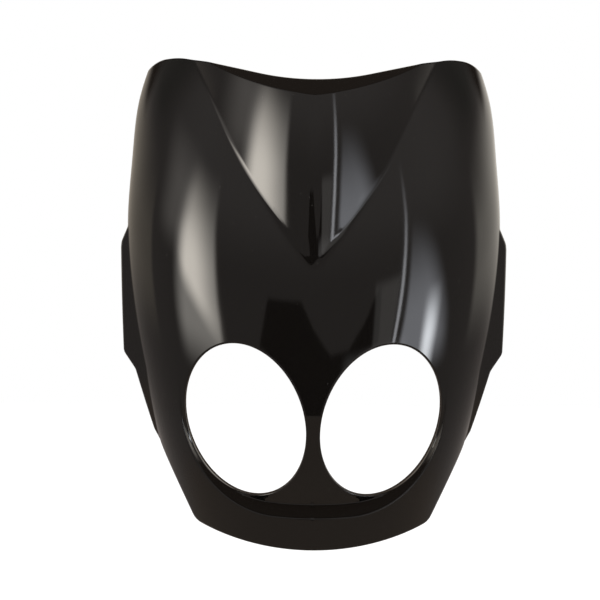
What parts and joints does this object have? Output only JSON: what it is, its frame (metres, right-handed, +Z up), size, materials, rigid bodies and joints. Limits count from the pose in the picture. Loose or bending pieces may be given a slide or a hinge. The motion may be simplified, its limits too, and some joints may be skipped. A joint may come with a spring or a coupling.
{
  "type": "scooter front panel",
  "caption": "One-piece moulded front panel for a motor scooter, with a raised centre crest, twin lamp openings, side flares and hidden screw bosses.",
  "frame": {"origin": "centre of the four panel screw bosses, on their rear plane", "axes": "+Z up, the painted face looks along -Y, +X to the right when seen from the front"},
  "size_m": [0.3412, 0.1731, 0.4283],
  "materials": {
    "gloss_shell": "glossy near-black moulded plastic, lightly dusty, with a satin moulded inside"
  },
  "bodies": {
    "root": {"front_panel": "gloss_shell"}
  },
  "joints": []
}
